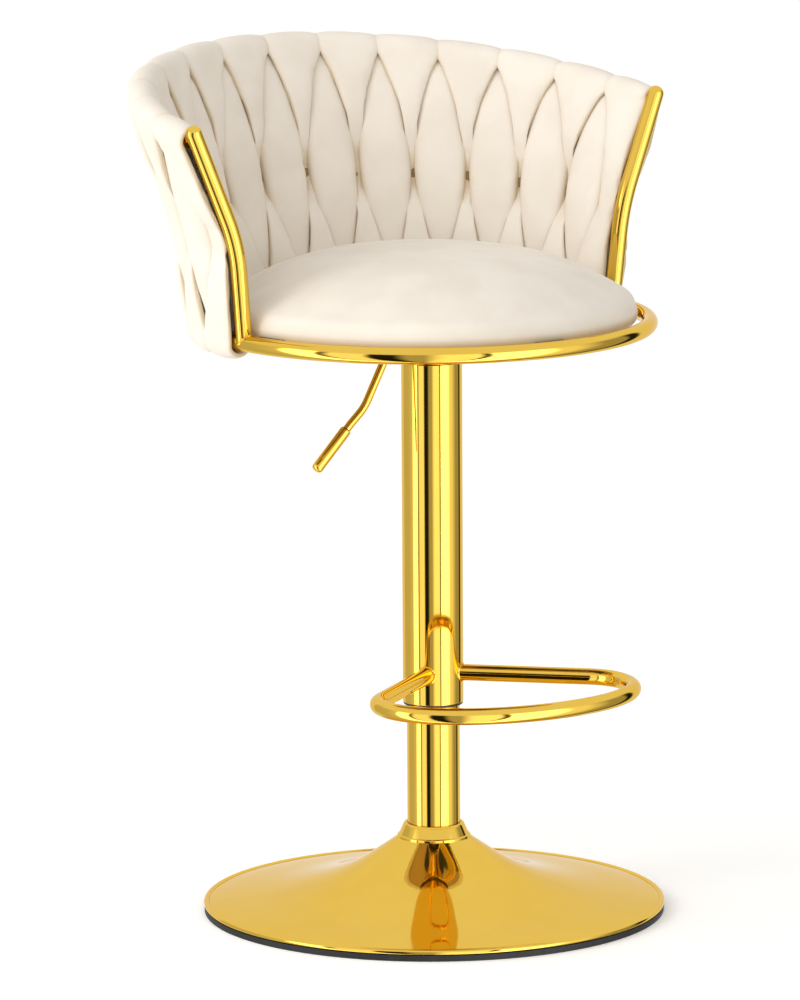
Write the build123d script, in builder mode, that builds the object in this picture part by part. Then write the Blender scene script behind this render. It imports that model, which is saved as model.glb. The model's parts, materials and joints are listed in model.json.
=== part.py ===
"""Swivel bar stool with a woven strap back, a gas lift and a footrest.

Millimetres. +Z is up, the front of the seat faces -Y, and the origin is the foot of the
swivel axis on the floor. The stool is drawn at its lowest height, facing forward.
"""
import os
from math import atan, cos, degrees, radians, sin

from build123d import *

# ---------------------------------------------------------------- driving dimensions
# base
base_radius = 210.0
shell_wall = 2.0
neck_height = 68.0            # top of the trumpet, under the collar
ballast_bottom = 2.4
ballast_top = 6.4
floor_ring_top = 5.6
hub_radius = 27.0
hub_top = 76.0
collar_top = 81.0

# column and gas lift
column_radius = 24.0
column_bore = 22.0
column_top = 478.0
end_plate_top = 30.0
lift_tube_radius = 14.0
lift_tube_bore = 12.5
lift_tube_bottom = 60.0
lift_tube_top = 521.0
rod_radius = 5.0
lift_travel = 200.0
sliding_gap = 0.08            # radial clearance of the sliding fits

# sleeve and footrest
sleeve_radius = 27.5
sleeve_bore = 26.0
sleeve_bottom = 193.0
sleeve_top = 505.0
tube_radius = 7.5             # footrest, seat ring and uprights
footrest_height = 220.7
footrest_half_width = 122.3

# seat
seat_setback = 8.0            # the seat's centre lies this far behind the column
ring_radius = 201.0
ring_height = 539.0
board_radius = 184.0
board_bottom = 545.0
board_top = 557.0
cushion_radius = 190.0
cushion_top = 606.0

# back
rail_half_width = 250.0
rail_depth = 275.0
rail_height = 718.6           # at the uprights; the rail climbs towards the rear
rail_slope = 0.157
rail_radius = 6.0
band_half_width = 217.8
band_depth = 240.0
band_height = 620.0
band_slope = 0.125
band_width = 9.5
band_thickness = 2.0
strap_outside = 10.0          # from the surface through ring and rail to the strap's faces
strap_inside = 12.0
strap_bottom = 523.0
strap_front = 9.2             # the straps begin this far behind the uprights' plane
petal_count = 13
petal_pitch = 13.0            # degrees between the middles of two petals
petal_width = 46.0
petal_tips = (0.10, 0.92)     # as fractions of the run from ring to rail
slit = 0.4                    # gap between two neighbouring straps

# lever
pivot_x, pivot_z = -26.0, 531.0
lever_radius = 3.75
pin_radius = 2.0
ear_gap = 4.6                 # half the space between the lever's ears

os.makedirs("parts", exist_ok=True)


def finish(part: Part, label: str) -> None:
    """Name a finished piece and write its STEP file."""
    part.label = label
    export_step(part, f"parts/{label}.step")


def ring_section(inner: float, outer: float, bottom: float, top: float) -> None:
    """Add the half section of a plain ring to the open sketch."""
    with Locations(((inner + outer) / 2, (bottom + top) / 2)):
        Rectangle(outer - inner, top - bottom)


# ---------------------------------------------------------------- base
neck_radius = 33.4
bead_radius = 2.5
bead_centre = (base_radius - bead_radius, 8.2)
groove = (bead_centre[0] - 1.7, 9.3)
trumpet = [(neck_radius, neck_height - 0.4), (52, 54.6), (77, 39.3), (110, 27), (150, 18),
           (190, 12.4), groove]

with BuildPart() as base_shell:
    with BuildSketch(Plane.XZ):
        with BuildLine():
            outside = Spline(*trumpet)
            inside = Spline(*[(r - 0.8, z - shell_wall) for r, z in trumpet])
            Line(outside @ 1, inside @ 1)
            Polyline(
                outside @ 0,
                (neck_radius, neck_height),
                (hub_radius + 0.8, neck_height),
                (hub_radius + 0.8, neck_height - shell_wall),
                inside @ 0,
            )
        make_face()
        with Locations(bead_centre):
            Circle(bead_radius)
    revolve(axis=Axis.Z)
finish(base_shell.part, "base_shell")

with BuildPart() as base_plate:
    with BuildSketch(Plane.XZ):
        ring_section(0, 199.5, ballast_bottom, ballast_top)
        ring_section(column_radius + 0.05, hub_radius, ballast_top, hub_top)
    revolve(axis=Axis.Z)
finish(base_plate.part, "base_plate")

with BuildPart() as floor_ring:
    with BuildSketch(Plane.XZ):
        ring_section(188, base_radius - 0.6, 0, ballast_bottom)
        ring_section(199.7, base_radius - 0.6, ballast_bottom, floor_ring_top)
    revolve(axis=Axis.Z)
finish(floor_ring.part, "floor_ring")

with BuildPart() as base_collar:
    with BuildSketch(Plane.XZ):
        with BuildLine():
            lip = Polyline((hub_radius + 0.3, neck_height), (33.2, neck_height), (33.2, 69.8),
                           (31.6, 70.4))
            flare = Spline(lip @ 1, (29.2, 76), (27.6, collar_top - 1.4))
            Polyline(
                flare @ 1,
                (26.6, collar_top),
                (column_radius + 0.3, collar_top),
                (column_radius + 0.3, hub_top + 0.4),
                (hub_radius + 0.3, hub_top + 0.4),
                lip @ 0,
            )
        make_face()
    revolve(axis=Axis.Z)
finish(base_collar.part, "base_collar")

# ---------------------------------------------------------------- column and bearing
with BuildPart() as column_tube:
    with BuildSketch(Plane.XZ):
        ring_section(column_bore, column_radius, ballast_top, column_top)
        ring_section(rod_radius + 0.3, column_bore, end_plate_top - 6, end_plate_top)
    revolve(axis=Axis.Z)
finish(column_tube.part, "column_tube")

with BuildPart() as column_bush:
    with BuildSketch(Plane.XZ):
        ring_section(lift_tube_radius + sliding_gap, column_bore, column_top - 60, column_top)
        ring_section(lift_tube_radius + sliding_gap, column_radius, column_top, column_top + 3)
    revolve(axis=Axis.Z)
finish(column_bush.part, "column_bush")

race_radius = 13.0
race_thickness = 2.0
ball_radius = 2.0
ball_circle = 9.5
ball_height = end_plate_top + race_thickness + ball_radius
upper_race_bottom = ball_height + ball_radius + 0.1
bump_bottom = upper_race_bottom + race_thickness

with BuildPart() as bearing_race_lower:
    with BuildSketch(Plane.XZ):
        ring_section(rod_radius + 1, race_radius, end_plate_top, end_plate_top + race_thickness)
    revolve(axis=Axis.Z)
finish(bearing_race_lower.part, "bearing_race_lower")

with BuildPart() as bearing_balls:
    with Locations(Plane.XY.offset(ball_height)):
        with PolarLocations(ball_circle, 12):
            Sphere(ball_radius)
finish(bearing_balls.part, "bearing_balls")

with BuildPart() as bearing_race_upper:
    with BuildSketch(Plane.XZ):
        ring_section(rod_radius, race_radius, upper_race_bottom, bump_bottom)
    revolve(axis=Axis.Z)
finish(bearing_race_upper.part, "bearing_race_upper")

# ---------------------------------------------------------------- piston rod
piston_bottom = lift_tube_bottom + 12 + lift_travel + 0.5
piston_top = piston_bottom + 15
clip_bottom, clip_top = 22.0, 23.6
clip_groove = 4.0

with BuildPart() as piston_rod:
    with BuildSketch(Plane.XZ):
        ring_section(0, rod_radius, 17, clip_bottom)
        ring_section(0, clip_groove, clip_bottom, clip_top)
        ring_section(0, rod_radius, clip_top, piston_bottom)
        ring_section(0, 3, piston_bottom, piston_top + 3)
    revolve(axis=Axis.Z)
finish(piston_rod.part, "piston_rod")

with BuildPart() as rod_clip:
    with BuildSketch(Plane.XZ):
        ring_section(clip_groove, 8, clip_bottom, clip_top)
    revolve(axis=Axis.Z)
finish(rod_clip.part, "rod_clip")

with BuildPart() as bump_stop:
    with BuildSketch(Plane.XZ):
        ring_section(rod_radius, 11, bump_bottom, lift_tube_bottom - 0.5)
    revolve(axis=Axis.Z)
finish(bump_stop.part, "bump_stop")

with BuildPart() as piston_head:
    with BuildSketch(Plane.XZ):
        ring_section(3, lift_tube_bore - sliding_gap, piston_bottom, piston_top)
    revolve(axis=Axis.Z)
finish(piston_head.part, "piston_head")

# ---------------------------------------------------------------- lift tube and button
taper_bottom = sleeve_top
taper_tip_radius = 13.3
button_radius = 3.0

with BuildPart() as lift_tube:
    with BuildSketch(Plane.XZ):
        with BuildLine():
            Polyline(
                (lift_tube_bore, lift_tube_bottom),
                (lift_tube_radius, lift_tube_bottom),
                (lift_tube_radius, taper_bottom),
                (taper_tip_radius, lift_tube_top),
                (button_radius + 0.1, lift_tube_top),
                (button_radius + 0.1, 490),
                (lift_tube_bore, 490),
                close=True,
            )
        make_face()
    revolve(axis=Axis.Z)
finish(lift_tube.part, "lift_tube")

with BuildPart() as gland_seal:
    with BuildSketch(Plane.XZ):
        ring_section(rod_radius + 0.05, lift_tube_bore, lift_tube_bottom, lift_tube_bottom + 12)
    revolve(axis=Axis.Z)
finish(gland_seal.part, "gland_seal")

button_bottom, button_top = 499.0, 526.7
with BuildPart() as release_button:
    with BuildSketch(Plane.XZ):
        ring_section(0, button_radius, button_bottom, button_top)
    revolve(axis=Axis.Z)
    fillet(release_button.edges().sort_by(Axis.Z)[-1], 0.8)
finish(release_button.part, "release_button")

# ---------------------------------------------------------------- sleeve and footrest
with BuildPart() as footrest_sleeve:
    with BuildSketch(Plane.XZ):
        ring_section(sleeve_bore, sleeve_radius, sleeve_bottom, sleeve_top)
        ring_section(lift_tube_radius + 0.05, sleeve_bore, sleeve_top - 4, sleeve_top)
    revolve(axis=Axis.Z)
finish(footrest_sleeve.part, "footrest_sleeve")

bush_lip = 2.2
with BuildPart() as sleeve_bush:
    with BuildSketch(Plane.XZ):
        ring_section(column_radius + sliding_gap, sleeve_bore, sleeve_bottom, sleeve_bottom + 22)
        ring_section(column_radius + sliding_gap, sleeve_radius - 0.5, sleeve_bottom - bush_lip,
                     sleeve_bottom)
    revolve(axis=Axis.Z)
finish(sleeve_bush.part, "sleeve_bush")

footrest_turn = -5.25         # degrees about the column: the hoop is not quite straight ahead
arm_apex_y = -4.0             # where the lines of the two arms would meet
arm_root_x = 14.0             # an arm's drawn end, hidden inside the sleeve's wall
arm_corner_y = -109.0         # where an arm's line would meet the side, before the bend
arm_bend = 44.0
bow_start_y = -132.7
bow_depth = 80.5

with BuildPart() as footrest_loop:
    with BuildLine(Plane.XY.offset(footrest_height)):
        corner = (footrest_half_width, arm_corner_y)
        slope = (arm_corner_y - arm_apex_y) / footrest_half_width
        root = (arm_root_x, arm_apex_y + slope * arm_root_x)
        right_arm = FilletPolyline(root, corner, (corner[0], bow_start_y), radius=arm_bend)
        EllipticalCenterArc((0, bow_start_y), footrest_half_width, bow_depth,
                            start_angle=180, arc_size=180)
        mirror(right_arm, about=Plane.YZ)
    with BuildSketch(Plane((*root, footrest_height), z_dir=right_arm % 0)):
        Circle(tube_radius)
    sweep()
    with BuildSketch(Plane.XY.offset(footrest_height)):
        Circle(sleeve_radius)
    extrude(amount=2 * tube_radius, both=True, mode=Mode.SUBTRACT)
finish(footrest_loop.part.rotate(Axis.Z, footrest_turn), "footrest_loop")

# ---------------------------------------------------------------- lift plate, hub and lever
hub_outer = 19.0
plate_size = (160.0, 140.0)
plate_bottom = 542.0
bolt_spacing = (130.0, 100.0)
ear_thickness = 3.0
ear_left, ear_right = -33.0, -20.0
ear_bottom = 524.5

with BuildPart() as lift_hub:
    with BuildSketch(Plane.XZ):
        with BuildLine():
            Polyline(
                (lift_tube_radius + 0.05, sleeve_top),
                (hub_outer, sleeve_top),
                (hub_outer, plate_bottom),
                (taper_tip_radius - 1, plate_bottom),
                (taper_tip_radius - 1, lift_tube_top + 0.5),
                (taper_tip_radius + 0.05, lift_tube_top + 0.5),
                close=True,
            )
        make_face()
    revolve(axis=Axis.Z)
    with BuildSketch(Plane.XZ):
        with Locations((-hub_outer / 2, 529.5)):
            Rectangle(hub_outer + 8, 15)
    extrude(amount=ear_gap, both=True, mode=Mode.SUBTRACT)
finish(lift_hub.part, "lift_hub")

with BuildPart() as lift_plate:
    with BuildSketch(Plane.XY.offset(plate_bottom)):
        RectangleRounded(*plate_size, 12)
        with GridLocations(*bolt_spacing, 2, 2):
            Circle(3.3, mode=Mode.SUBTRACT)
    extrude(amount=board_bottom - plate_bottom)
    for side in (-1, 1):
        with BuildSketch(Plane.XZ.offset(-side * (ear_gap + ear_thickness / 2))):
            with Locations(((ear_left + ear_right) / 2, (ear_bottom + plate_bottom) / 2)):
                Rectangle(ear_right - ear_left, plate_bottom - ear_bottom)
            with Locations((pivot_x, pivot_z)):
                Circle(pin_radius, mode=Mode.SUBTRACT)
        extrude(amount=ear_thickness / 2, both=True)
finish(lift_plate.part, "lift_plate")

pin_half_length = ear_gap + ear_thickness + 1.0
with BuildPart() as lever_pin:
    with BuildSketch(Plane.XZ):
        with Locations((pivot_x, pivot_z)):
            Circle(pin_radius)
    extrude(amount=pin_half_length, both=True)
finish(lever_pin.part, "lever_pin")

with BuildPart() as plate_bolts:
    with BuildSketch(Plane.XY.offset(plate_bottom)):
        with GridLocations(*bolt_spacing, 2, 2):
            RegularPolygon(5, 6, major_radius=False)
    extrude(amount=-4)
    with BuildSketch(Plane.XY.offset(plate_bottom)):
        with GridLocations(*bolt_spacing, 2, 2):
            Circle(3)
    extrude(amount=14)
finish(plate_bolts.part, "plate_bolts")

lever_route = [(2, pivot_z), (-40, pivot_z), (-73.5, 469), (-88.6, 455.5), (-120, 423.7)]
with BuildPart() as lever_rod:
    with BuildLine(Plane.XZ):
        FilletPolyline(*lever_route, radius=(13, 45, 20))
    with BuildSketch(Plane((2, 0, pivot_z), z_dir=(-1, 0, 0))):
        Circle(lever_radius)
    sweep()
    with BuildSketch(Plane.XZ):
        with Locations((pivot_x, pivot_z)):
            Circle(6)
    extrude(amount=ear_gap - 0.5, both=True)
    with BuildSketch(Plane.XZ):
        with Locations((pivot_x, pivot_z)):
            Circle(pin_radius + 0.05)
    extrude(amount=ear_gap, both=True, mode=Mode.SUBTRACT)
finish(lever_rod.part, "lever_rod")

grip_radius = 5.25
grip_start, grip_end = lever_route[3], lever_route[4]
grip_axis = Plane((grip_start[0], 0, grip_start[1]),
                  z_dir=(grip_end[0] - grip_start[0], 0, grip_end[1] - grip_start[1]))
rod_in_grip = ((grip_end[0] - grip_start[0]) ** 2 + (grip_end[1] - grip_start[1]) ** 2) ** 0.5
grip_length = rod_in_grip + 9
with BuildPart() as lever_grip:
    with BuildSketch(grip_axis.offset(6)):
        Circle(grip_radius)
    extrude(amount=grip_length - 6)
    fillet(lever_grip.edges().group_by(Axis.X)[0], 3.2)
    with BuildSketch(grip_axis):
        Circle(lever_radius)
    extrude(amount=rod_in_grip, mode=Mode.SUBTRACT)
finish(lever_grip.part, "lever_grip")

# ---------------------------------------------------------------- seat frame
seat_centre = (0, seat_setback)

with BuildPart() as seat_ring:
    with BuildSketch(Plane((0, seat_setback, 0), x_dir=(1, 0, 0), z_dir=(0, -1, 0))):
        with Locations((ring_radius, ring_height)):
            Circle(tube_radius)
    revolve(axis=Axis((0, seat_setback, 0), (0, 0, 1)))
finish(seat_ring.part, "seat_ring")

bar_width = 30.0
with BuildPart() as frame_bars:
    with BuildSketch(Plane.XY.offset(board_bottom - 4)):
        with Locations((0, -24)):
            Rectangle(2 * ring_radius, bar_width)
        with Locations((0, seat_setback - ring_radius / 2)):
            Rectangle(bar_width, ring_radius)
        Rectangle(*plate_size, mode=Mode.SUBTRACT)
    extrude(amount=4)
    with BuildSketch(Plane.XY.offset(board_bottom - 4)):
        with Locations(seat_centre):
            Circle(ring_radius)
    extrude(amount=4, mode=Mode.INTERSECT)
    with BuildSketch(Plane((0, seat_setback, 0), x_dir=(1, 0, 0), z_dir=(0, -1, 0))):
        with Locations((ring_radius, ring_height)):
            Circle(tube_radius + 0.1)
    revolve(axis=Axis((0, seat_setback, 0), (0, 0, 1)), mode=Mode.SUBTRACT)
finish(frame_bars.part, "frame_bars")

with BuildPart() as seat_board:
    with BuildSketch(Plane.XY.offset(board_bottom)):
        with Locations(seat_centre):
            Circle(board_radius)
        with GridLocations(*bolt_spacing, 2, 2):
            Circle(3.1, mode=Mode.SUBTRACT)
    extrude(amount=board_top - board_bottom)
finish(seat_board.part, "seat_board")

with BuildPart() as seat_cushion:
    with BuildSketch(Plane((0, seat_setback, 0), x_dir=(1, 0, 0), z_dir=(0, -1, 0))):
        with BuildLine():
            crown = Spline((0, cushion_top), (105, 597), (150, 581), (180, 563),
                           (cushion_radius, board_bottom), tangents=((1, 0), (0, -1)))
            Polyline(
                crown @ 1,
                (board_radius + 0.2, board_bottom),
                (board_radius + 0.2, board_top),
                (0, board_top),
                crown @ 0,
            )
        make_face()
    revolve(axis=Axis((0, seat_setback, 0), (0, 0, 1)))
finish(seat_cushion.part, "seat_cushion")

upright_route = [(ring_radius - 0.1, 0, ring_height), (210, -3, 628), (251, 1, 728.5)]
for side, label in ((-1, "upright_left"), (1, "upright_right")):
    route = [(side * x, y, z) for x, y, z in upright_route]
    with BuildPart() as upright:
        with BuildLine():
            run = FilletPolyline(*route, radius=170)
        with BuildSketch(Plane(run @ 0, z_dir=run % 0)):
            Circle(tube_radius)
        sweep()
        with Locations(run @ 1):
            Sphere(tube_radius)
        with BuildSketch(Plane((0, seat_setback, 0), x_dir=(1, 0, 0), z_dir=(0, -1, 0))):
            with Locations((ring_radius, ring_height)):
                Circle(tube_radius)
        revolve(axis=Axis((0, seat_setback, 0), (0, 0, 1)), mode=Mode.SUBTRACT)
        split(bisect_by=Plane.XY.offset(ring_height), keep=Keep.TOP)
    finish(upright.part, label)
    if side < 0:
        upright_left = upright
    else:
        upright_right = upright

# ---------------------------------------------------------------- back frame
rail_tilt = degrees(atan(rail_slope))
rail_plane = Plane.XY.offset(rail_height).rotated((rail_tilt, 0, 0))
rail_reach = rail_depth / cos(radians(rail_tilt))
rail_start = 2.4              # degrees from the uprights, where the rail is welded on


def rail_tube(radius: float, start: float) -> Part:
    """The top rail as a round bar of this radius, between start and 180 - start degrees."""
    with BuildPart() as rail:
        with BuildLine(rail_plane):
            arc = EllipticalCenterArc((0, 0), rail_half_width, rail_reach,
                                      start_angle=start, arc_size=180 - 2 * start)
        with BuildSketch(Plane(arc @ 0, z_dir=arc % 0)):
            Circle(radius)
        sweep()
    return rail.part


def band_strip(grow: float) -> Part:
    """The flat band round the middle of the back, thicker by grow on every side."""
    tilt = degrees(atan(band_slope))
    middle = Plane.XY.offset(band_height).rotated((tilt, 0, 0))
    half = band_thickness / 2 + grow
    reach = band_depth / cos(radians(tilt))
    with BuildPart() as band:
        with BuildSketch(middle):
            Ellipse(band_half_width + half, reach + half)
            Ellipse(band_half_width - half, reach - half, mode=Mode.SUBTRACT)
            with Locations((0, -reach + 2)):
                Rectangle(3 * band_half_width, 2 * reach, mode=Mode.SUBTRACT)
        extrude(amount=band_width / 2 + grow, both=True)
    return band.part


with BuildPart() as top_rail:
    add(rail_tube(rail_radius, rail_start))
    add(upright_left.part, mode=Mode.SUBTRACT)
    add(upright_right.part, mode=Mode.SUBTRACT)
finish(top_rail.part, "top_rail")

with BuildPart() as mid_band:
    add(band_strip(0))
    add(upright_left.part, mode=Mode.SUBTRACT)
    add(upright_right.part, mode=Mode.SUBTRACT)
finish(mid_band.part, "mid_band")

# ---------------------------------------------------------------- woven straps
# The straps fill a shell round the flared surface that runs from the ring to the rail. The
# lens-shaped petals take the middle of its height, and the straps between them the ends.
shell_low, shell_high = 520.0, 790.0
low_radius = 195.6
high_half_width, high_depth = 269.5, 283.3


def flared_solid(offset: float) -> Part:
    """A solid bounded by the back's flared surface, moved outwards by offset."""
    with BuildPart() as solid:
        with BuildSketch(Plane.XY.offset(shell_low)):
            with Locations(seat_centre):
                Ellipse(low_radius + offset, low_radius + offset - 0.01)
        with BuildSketch(Plane.XY.offset(shell_high)):
            Ellipse(high_half_width + offset, high_depth + offset)
        loft()
    return solid.part


with BuildPart() as back_shell:
    add(flared_solid(strap_outside))
    add(flared_solid(-strap_inside), mode=Mode.SUBTRACT)
    split(bisect_by=Plane.XZ.offset(-strap_front), keep=Keep.BOTTOM)
    split(bisect_by=Plane.XY.offset(strap_bottom), keep=Keep.TOP)
    split(bisect_by=rail_plane.offset(2 * rail_radius), keep=Keep.BOTTOM)
    add(rail_tube(rail_radius + slit, 0), mode=Mode.SUBTRACT)
    add(band_strip(slit), mode=Mode.SUBTRACT)
    with BuildSketch(Plane((0, seat_setback, 0), x_dir=(1, 0, 0), z_dir=(0, -1, 0))):
        with Locations((ring_radius, ring_height)):
            Circle(tube_radius + slit)
    revolve(axis=Axis((0, seat_setback, 0), (0, 0, 1)), mode=Mode.SUBTRACT)


def strap_plane(angle: float) -> tuple[Plane, float]:
    """Plane along the run from ring to rail at this angle, and the run's length.

    The plane's y axis climbs the run, and its x axis is level along the back.
    """
    c, s = cos(radians(angle)), sin(radians(angle))
    foot = Vector(ring_radius * c, seat_setback + ring_radius * s, ring_height)
    head = Vector(rail_half_width * c, rail_depth * s, rail_height + rail_slope * rail_depth * s)
    climb = head - foot
    level = Vector(-s, c, 0)
    return Plane(foot, x_dir=level, z_dir=level.cross(climb)), climb.length


def petal_face(length: float, width: float) -> Sketch:
    """A petal's outline: two arcs that meet in its tips."""
    low, high = (tip * length for tip in petal_tips)
    with BuildSketch() as face:
        with BuildLine():
            ThreePointArc((0, low), (width / 2, (low + high) / 2), (0, high))
            ThreePointArc((0, low), (-width / 2, (low + high) / 2), (0, high))
        make_face()
    return face.sketch


petal_angles = [90 + petal_pitch * (k - petal_count // 2) for k in range(petal_count)]
petals = []
for angle in petal_angles:
    face_plane, length = strap_plane(angle)
    with BuildPart() as petal:
        add(back_shell.part)
        with BuildSketch(face_plane):
            add(petal_face(length, petal_width))
        extrude(amount=40, both=True, mode=Mode.INTERSECT)
    petals.append(petal.part)

with BuildPart() as long_straps:
    add(back_shell.part)
    for angle in petal_angles:
        face_plane, length = strap_plane(angle)
        with BuildSketch(face_plane):
            add(petal_face(length, petal_width + 2 * slit))
            with Locations((0, length / 2)):
                Rectangle(slit, 2 * length)
        extrude(amount=40, both=True, mode=Mode.SUBTRACT)


def place_on_back(solid: Solid) -> float:
    """Where a strap lies along the back, from the right upright round to the left."""
    return -solid.center().X


solids = [piece for part in petals for piece in part.solids()] + long_straps.part.solids()
for number, solid in enumerate(sorted(solids, key=place_on_back), start=1):
    finish(Part(solid.wrapped), f"back_strap_{number:02d}")
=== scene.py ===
"""Visual model of a gilded bar stool with a woven velvet back, on its CAD frame.

The sub-assemblies are dataclasses that build their own meshes in metres, in the frame's
axes: +Z up, the front of the seat towards -Y, the swivel axis at the origin.
"""
import json
import logging
import math
from dataclasses import dataclass
from enum import Enum
from itertools import accumulate
from typing import Callable

import bmesh
import bpy
import numpy as np
from mathutils import Matrix, Vector, noise

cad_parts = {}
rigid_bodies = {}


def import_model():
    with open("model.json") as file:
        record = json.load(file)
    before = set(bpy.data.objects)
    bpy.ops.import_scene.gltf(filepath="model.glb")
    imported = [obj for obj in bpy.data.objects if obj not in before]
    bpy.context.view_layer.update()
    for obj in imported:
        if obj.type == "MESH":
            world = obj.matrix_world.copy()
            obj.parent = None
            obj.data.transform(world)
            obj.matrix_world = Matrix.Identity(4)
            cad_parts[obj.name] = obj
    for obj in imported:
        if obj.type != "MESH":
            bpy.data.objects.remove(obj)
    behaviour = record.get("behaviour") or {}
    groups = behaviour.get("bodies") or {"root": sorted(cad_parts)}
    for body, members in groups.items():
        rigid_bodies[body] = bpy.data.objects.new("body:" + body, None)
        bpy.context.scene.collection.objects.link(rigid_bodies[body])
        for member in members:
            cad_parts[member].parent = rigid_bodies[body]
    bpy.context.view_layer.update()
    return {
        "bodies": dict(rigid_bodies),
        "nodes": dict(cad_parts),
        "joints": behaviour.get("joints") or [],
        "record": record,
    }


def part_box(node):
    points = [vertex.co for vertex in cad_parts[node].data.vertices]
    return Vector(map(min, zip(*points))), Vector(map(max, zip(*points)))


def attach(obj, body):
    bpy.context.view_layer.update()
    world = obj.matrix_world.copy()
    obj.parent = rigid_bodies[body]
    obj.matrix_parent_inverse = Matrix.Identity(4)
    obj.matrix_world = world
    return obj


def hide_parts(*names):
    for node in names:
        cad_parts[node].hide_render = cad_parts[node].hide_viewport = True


log = logging.getLogger("stool")

MM = 0.001
MERGE = 1e-6  # points closer than this become one
CREASE = "crease"

Colour = tuple[float, float, float, float]
Mesh = bmesh.types.BMesh
Piece = bpy.types.Object
Profile = list[tuple[float, float]]
SoftPieces = list[tuple[Piece, float]]
Node = bpy.types.Node
Socket = bpy.types.NodeSocket
Tree = bpy.types.NodeTree


# ------------------------------------------------------------------ node helpers
def srgb(code: str) -> Colour:
    """Turn a colour code into the linear values that shaders use.

    Args:
        code: six hex digits, such as "EFE8DC".
    Returns:
        Linear red, green, blue and an alpha of 1.
    """
    parts = (int(code[i:i + 2], 16) / 255 for i in (0, 2, 4))
    return (*(c / 12.92 if c <= 0.04045 else ((c + 0.055) / 1.055) ** 2.4 for c in parts), 1.0)


def add_node(tree: Tree, kind: str, inputs: dict | None = None, **settings) -> Node:
    """Add a node to a tree.

    Args:
        tree: the tree that gets the node.
        kind: the node's type name.
        inputs: values or sockets for its inputs, by socket name or number.
        settings: values for its properties.
    Returns:
        The new node.
    """
    made = tree.nodes.new(kind)
    for name, value in settings.items():
        setattr(made, name, value)
    for key, value in (inputs or {}).items():
        if isinstance(value, Socket):
            tree.links.new(value, made.inputs[key])
        else:
            made.inputs[key].default_value = value
    return made


class MixInput:
    """Socket numbers of a colour Mix node."""

    FACTOR, A, B, RESULT = 0, 6, 7, 2


def mixed(tree: Tree, factor: float | Socket, a: Colour | Socket, b: Colour | Socket,
          blend: str = "MIX") -> Socket:
    """Mix two colours.

    Args:
        tree: the tree that gets the node.
        factor: share of the second colour, a number or socket.
        a: first colour, a value or socket.
        b: second colour, a value or socket.
        blend: the way in which they mix.
    Returns:
        The mixed colour's socket.
    """
    made = add_node(tree, "ShaderNodeMix", data_type="RGBA", blend_type=blend,
                    inputs={MixInput.FACTOR: factor, MixInput.A: a, MixInput.B: b})
    return made.outputs[MixInput.RESULT]


def ramp(tree: Tree, value: Socket, low: float, high: float,
         to_low: float = 0.0, to_high: float = 1.0) -> Socket:
    """Map a value's range onto another, held at its ends.

    Args:
        tree: the tree that gets the node.
        value: the socket to map.
        low: value that gives to_low.
        high: value that gives to_high.
        to_low: result at the low end.
        to_high: result at the high end.
    Returns:
        The mapped value's socket.
    """
    made = add_node(tree, "ShaderNodeMapRange", interpolation_type="SMOOTHSTEP",
                    inputs={"Value": value, "From Min": low, "From Max": high,
                            "To Min": to_low, "To Max": to_high})
    return made.outputs["Result"]


def blotches(tree: Tree, place: Socket, size: float, detail: float = 3.0,
             roughness: float = 0.5) -> Socket:
    """Noise whose blotches have a real size.

    Args:
        tree: the tree that gets the node.
        place: coordinates in metres.
        size: size of a blotch in metres.
        detail: octaves of finer blotches.
        roughness: strength of the finer blotches.
    Returns:
        The noise value's socket.
    """
    made = add_node(tree, "ShaderNodeTexNoise",
                    inputs={"Vector": place, "Scale": 1 / size, "Detail": detail,
                            "Roughness": roughness})
    return made.outputs["Fac"]


def bump(tree: Tree, height: Socket, strength: float, distance: float,
         over: Socket | None = None) -> Socket:
    """Bend a surface's normal by a height.

    Args:
        tree: the tree that gets the node.
        height: the height pattern, from 0 to 1.
        strength: how strongly it shows.
        distance: what a height of 1 stands for, in metres.
        over: a normal that is bent already.
    Returns:
        The bent normal's socket.
    """
    inputs = {"Height": height, "Strength": strength, "Distance": distance}
    if over is not None:
        inputs["Normal"] = over
    return add_node(tree, "ShaderNodeBump", inputs=inputs).outputs["Normal"]


# ------------------------------------------------------------------ finishes
# A wave texture of this scale over 1 m has bands 1 m apart.
BAND_SCALE = 0.314


@dataclass(frozen=True)
class Finish:
    """Common part of every finish: a named material with one Principled surface."""

    name: str

    def make(self) -> bpy.types.Material:
        """Build the material.

        Returns:
            The new material.
        """
        material = bpy.data.materials.new(self.name)
        material.use_nodes = True
        tree = material.node_tree
        surface = tree.nodes["Principled BSDF"]
        place = add_node(tree, "ShaderNodeTexCoord").outputs["Object"]
        self.shade(tree, surface, place)
        return material

    @staticmethod
    def tone(tree: Tree, surface: Node, pattern: Socket, first: str, second: str) -> None:
        """Colour the surface with two tones.

        Args:
            tree: the material's tree.
            surface: its Principled node.
            pattern: 0 where the first tone lies and 1 where the second does.
            first: the first tone's colour code.
            second: the second tone's colour code.
        """
        tree.links.new(mixed(tree, pattern, srgb(first), srgb(second)),
                       surface.inputs["Base Color"])

    def shade(self, tree: Tree, surface: Node, place: Socket) -> None:
        """Set the surface's values and patterns.

        Args:
            tree: the material's tree.
            surface: its Principled node.
            place: object coordinates in metres.
        """
        raise NotImplementedError


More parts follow.
